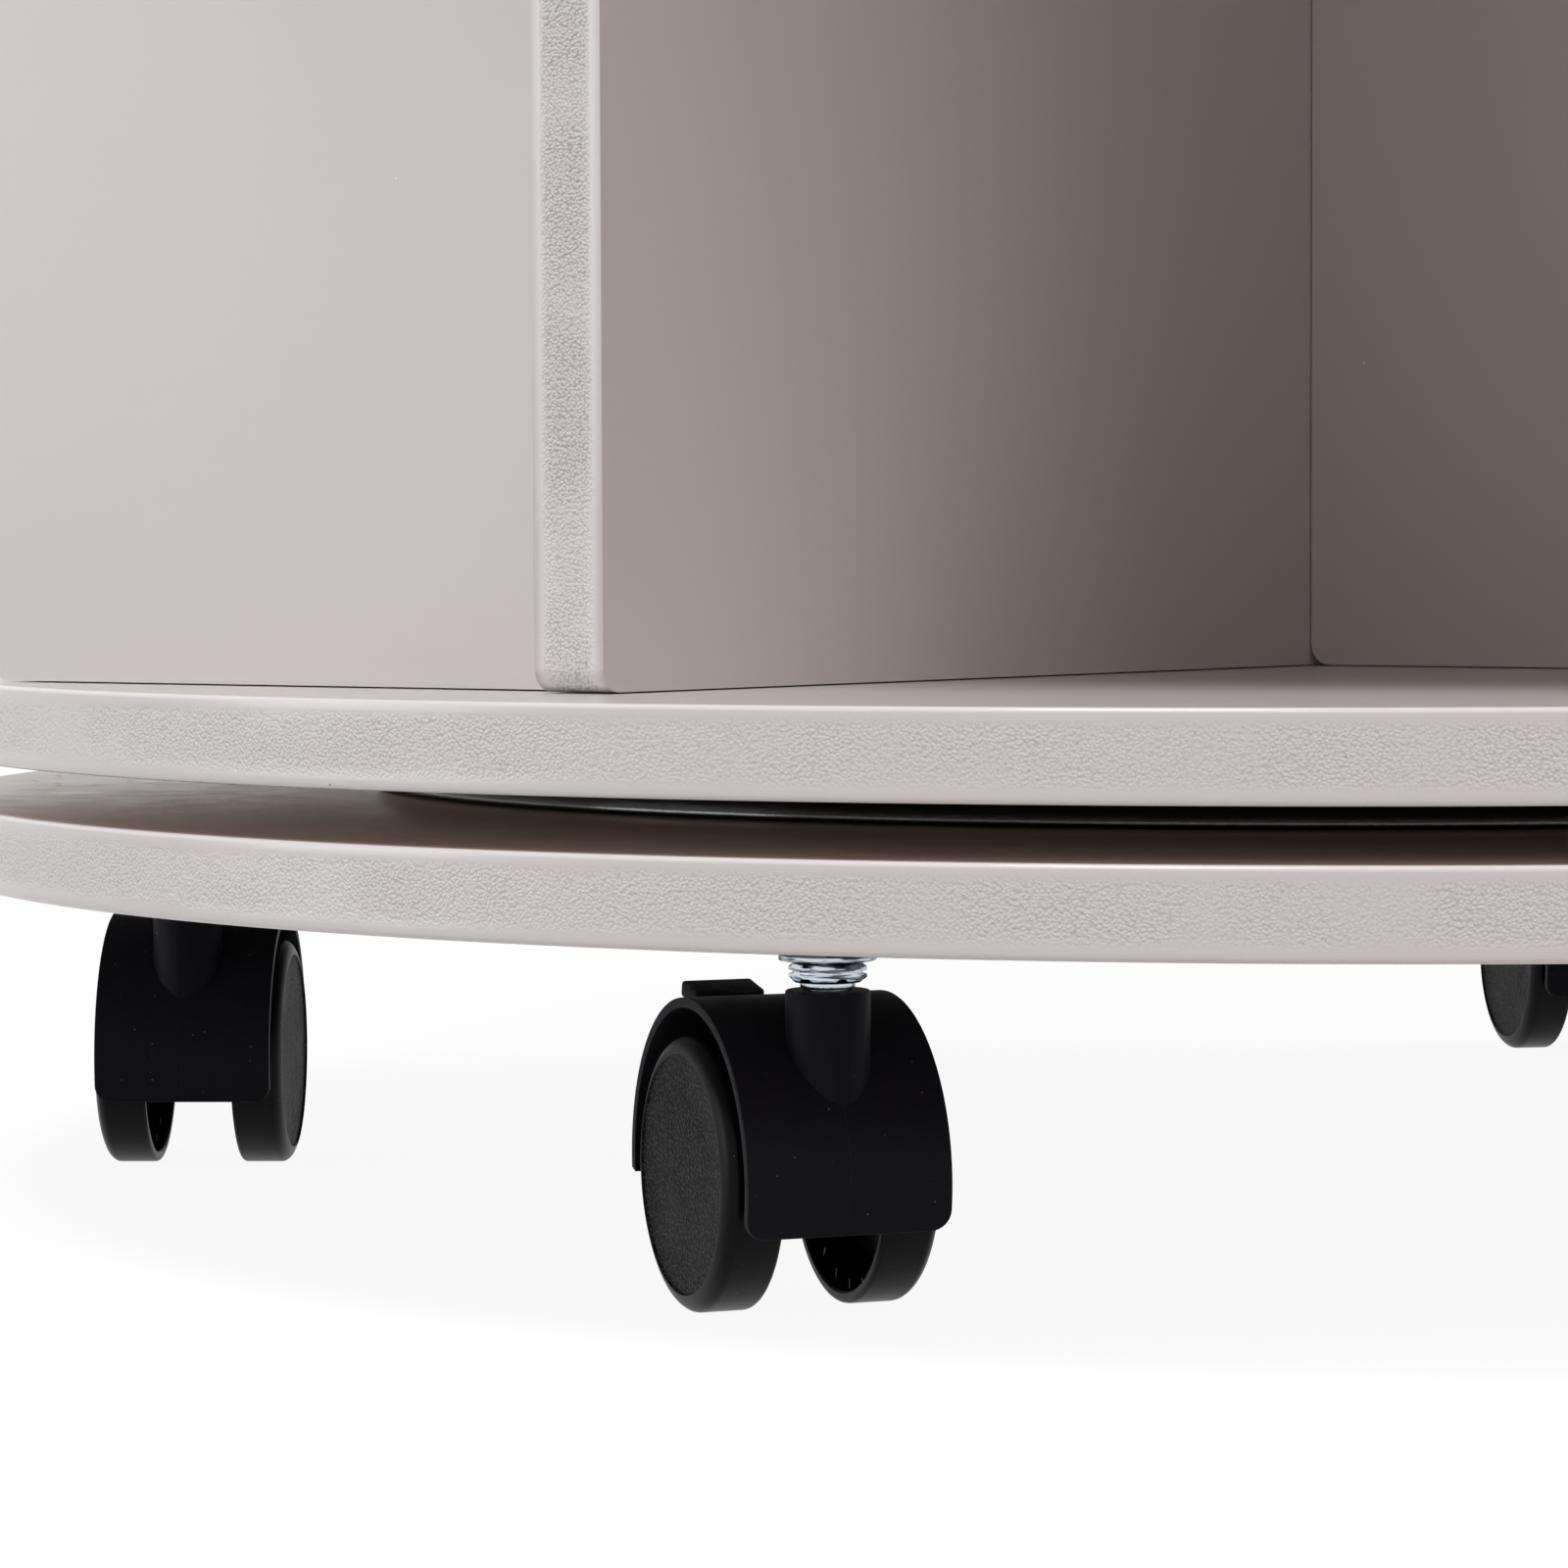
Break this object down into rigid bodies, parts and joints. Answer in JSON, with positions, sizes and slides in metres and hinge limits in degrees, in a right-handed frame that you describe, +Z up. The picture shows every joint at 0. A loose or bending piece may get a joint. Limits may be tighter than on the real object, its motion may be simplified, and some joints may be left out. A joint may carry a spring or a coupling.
{
  "type": "revolving bookcase",
  "caption": "Round white bookcase whose tiers of crossed dividers and end fences turn on a ring bearing over a round base with hooded twin-wheel swivel casters.",
  "frame": {"origin": "on the floor, on the turning axis", "axes": "+Z up along the turning axis; the through dividers run along Y and the half dividers along X"},
  "size_m": [0.6, 0.6, 1.0595],
  "materials": {
    "white_board": "warm off-white satin board, pebbled on its cut edges",
    "black_turntable": "satin black",
    "bearing_steel": "bright steel",
    "hood_plastic": "black moulded nylon, satin",
    "wheel_plastic": "black moulded nylon, fine grained disc",
    "zinc_plate": "bluish zinc plate"
  },
  "bodies": {
    "base": {"base_disc": "white_board", "turntable_lower_race": "black_turntable", "caster_front_stem": "zinc_plate", "caster_front_flange_nut": "zinc_plate", "caster_front_insert_nut": "zinc_plate", "caster_left_stem": "zinc_plate", "caster_left_flange_nut": "zinc_plate", "caster_left_insert_nut": "zinc_plate", "caster_rear_stem": "zinc_plate", "caster_rear_flange_nut": "zinc_plate", "caster_rear_insert_nut": "zinc_plate", "caster_right_stem": "zinc_plate", "caster_right_flange_nut": "zinc_plate", "caster_right_insert_nut": "zinc_plate"},
    "carcass": {"carcass_floor": "white_board", "shelf_1": "white_board", "shelf_2": "white_board", "top_board": "white_board", "turntable_upper_race": "black_turntable", "tier1_through_divider": "white_board", "tier1_half_divider_right": "white_board", "tier1_half_divider_left": "white_board", "tier1_fence_front": "white_board", "tier1_fence_right": "white_board", "tier1_fence_back": "white_board", "tier1_fence_left": "white_board", "tier2_through_divider": "white_board", "tier2_half_divider_right": "white_board", "tier2_half_divider_left": "white_board", "tier2_fence_front": "white_board", "tier2_fence_right": "white_board", "tier2_fence_back": "white_board", "tier2_fence_left": "white_board", "tier3_through_divider": "white_board", "tier3_half_divider_right": "white_board", "tier3_half_divider_left": "white_board", "tier3_fence_front": "white_board", "tier3_fence_right": "white_board", "tier3_fence_back": "white_board", "tier3_fence_left": "white_board"},
    "ball_cage": {"turntable_ball_cage": "bearing_steel"},
    "caster_front_swivel": {"caster_front_hood": "hood_plastic", "caster_front_axle": "zinc_plate"},
    "caster_front_wheel_left": {"caster_front_wheel_left": "wheel_plastic"},
    "caster_front_wheel_right": {"caster_front_wheel_right": "wheel_plastic"},
    "caster_front_brake": {"caster_front_brake_pedal": "hood_plastic"},
    "caster_left_swivel": {"caster_left_hood": "hood_plastic", "caster_left_axle": "zinc_plate"},
    "caster_left_wheel_left": {"caster_left_wheel_left": "wheel_plastic"},
    "caster_left_wheel_right": {"caster_left_wheel_right": "wheel_plastic"},
    "caster_rear_swivel": {"caster_rear_hood": "hood_plastic", "caster_rear_axle": "zinc_plate"},
    "caster_rear_wheel_left": {"caster_rear_wheel_left": "wheel_plastic"},
    "caster_rear_wheel_right": {"caster_rear_wheel_right": "wheel_plastic"},
    "caster_right_swivel": {"caster_right_hood": "hood_plastic", "caster_right_axle": "zinc_plate"},
    "caster_right_wheel_left": {"caster_right_wheel_left": "wheel_plastic"},
    "caster_right_wheel_right": {"caster_right_wheel_right": "wheel_plastic"},
    "caster_right_brake": {"caster_right_brake_pedal": "hood_plastic"}
  },
  "joints": [
    {"name": "carcass_turn", "type": "hinge", "parent": "base", "child": "carcass", "pos_m": [0, 0, 0.09075], "axis": [0, 0, 1], "continuous": true},
    {"name": "ball_cage_turn", "type": "hinge", "parent": "base", "child": "ball_cage", "pos_m": [0, 0, 0.09075], "axis": [0, 0, 1], "continuous": true},
    {"name": "caster_front_swivel_turn", "type": "hinge", "parent": "base", "child": "caster_front_swivel", "pos_m": [0.04686, -0.24333, 0.0594], "axis": [0, 0, 1], "continuous": true},
    {"name": "caster_front_wheel_left_roll", "type": "hinge", "parent": "caster_front_swivel", "child": "caster_front_wheel_left", "pos_m": [0.02958, -0.23211, 0.025], "axis": [-0.5446, -0.8387, 0], "continuous": true},
    {"name": "caster_front_wheel_right_roll", "type": "hinge", "parent": "caster_front_swivel", "child": "caster_front_wheel_right", "pos_m": [0.02958, -0.23211, 0.025], "axis": [-0.5446, -0.8387, 0], "continuous": true},
    {"name": "caster_front_brake_press", "type": "hinge", "parent": "caster_front_swivel", "child": "caster_front_brake", "pos_m": [0.01616, -0.2234, 0.043], "axis": [-0.5446, -0.8387, 0], "range_deg": [0, 10]},
    {"name": "caster_left_swivel_turn", "type": "hinge", "parent": "base", "child": "caster_left_swivel", "pos_m": [-0.1901, -0.15895, 0.0594], "axis": [0, 0, 1], "continuous": true},
    {"name": "caster_left_wheel_left_roll", "type": "hinge", "parent": "caster_left_swivel", "child": "caster_left_wheel_left", "pos_m": [-0.20192, -0.14208, 0.025], "axis": [-0.8192, -0.5736, 0], "continuous": true},
    {"name": "caster_left_wheel_right_roll", "type": "hinge", "parent": "caster_left_swivel", "child": "caster_left_wheel_right", "pos_m": [-0.20192, -0.14208, 0.025], "axis": [-0.8192, -0.5736, 0], "continuous": true},
    {"name": "caster_rear_swivel_turn", "type": "hinge", "parent": "base", "child": "caster_rear_swivel", "pos_m": [-0.04686, 0.24333, 0.0594], "axis": [0, 0, 1], "continuous": true},
    {"name": "caster_rear_wheel_left_roll", "type": "hinge", "parent": "caster_rear_swivel", "child": "caster_rear_wheel_left", "pos_m": [-0.06168, 0.25764, 0.025], "axis": [-0.6947, -0.7193, 0], "continuous": true},
    {"name": "caster_rear_wheel_right_roll", "type": "hinge", "parent": "caster_rear_swivel", "child": "caster_rear_wheel_right", "pos_m": [-0.06168, 0.25764, 0.025], "axis": [-0.6947, -0.7193, 0], "continuous": true},
    {"name": "caster_right_swivel_turn", "type": "hinge", "parent": "base", "child": "caster_right_swivel", "pos_m": [0.1901, 0.15895, 0.0594], "axis": [0, 0, 1], "continuous": true},
    {"name": "caster_right_wheel_left_roll", "type": "hinge", "parent": "caster_right_swivel", "child": "caster_right_wheel_left", "pos_m": [0.17432, 0.17219, 0.025], "axis": [-0.6428, -0.766, 0], "continuous": true},
    {"name": "caster_right_wheel_right_roll", "type": "hinge", "parent": "caster_right_swivel", "child": "caster_right_wheel_right", "pos_m": [0.17432, 0.17219, 0.025], "axis": [-0.6428, -0.766, 0], "continuous": true},
    {"name": "caster_right_brake_press", "type": "hinge", "parent": "caster_right_swivel", "child": "caster_right_brake", "pos_m": [0.16207, 0.18248, 0.043], "axis": [-0.6428, -0.766, 0], "range_deg": [0, 10]}
  ],
  "couplings": [
    {"joint": "ball_cage_turn", "follows": "carcass_turn", "ratio": 0.5}
  ]
}
